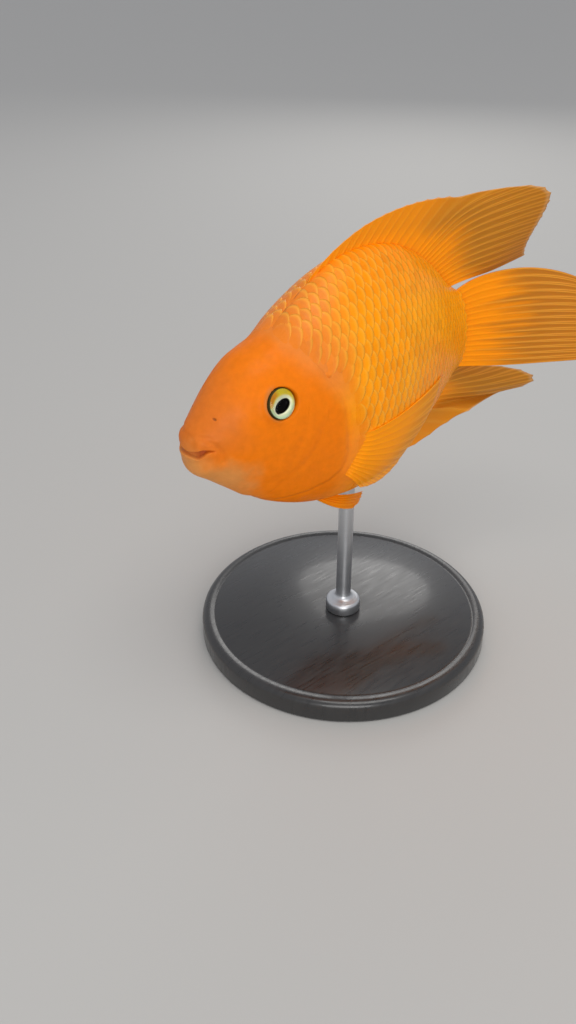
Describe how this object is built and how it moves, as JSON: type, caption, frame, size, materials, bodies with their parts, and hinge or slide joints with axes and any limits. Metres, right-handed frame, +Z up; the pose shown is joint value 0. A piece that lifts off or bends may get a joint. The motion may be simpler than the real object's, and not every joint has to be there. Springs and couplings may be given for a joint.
{
  "type": "aquarium fish display model",
  "caption": "Life-size blood parrot cichlid, a deep-bodied orange fish with trailing fins, on a round display stand.",
  "frame": {"origin": "centre of the flat underside of the stand's round base, on the floor", "axes": "+Z up, -X the way the fish's nose points, -Y the fish's left side"},
  "size_m": [0.1883, 0.116, 0.1691],
  "materials": {
    "skin": "satin",
    "fin": "satin",
    "eye": "gloss",
    "stand_base": "satin",
    "stand_rod": "brushed"
  },
  "bodies": {
    "root": {"head": "skin", "lower_jaw": "skin", "gill_cover_left": "skin", "gill_cover_right": "skin", "trunk": "skin", "tail_root": "skin", "eye_left": "eye", "eye_right": "eye", "dorsal_fin": "fin", "anal_fin": "fin", "tail_fin": "fin", "pectoral_fin_left": "fin", "pectoral_fin_right": "fin", "pelvic_fin_left": "fin", "pelvic_fin_right": "fin", "stand_base": "stand_base", "stand_rod": "stand_rod"}
  },
  "joints": []
}
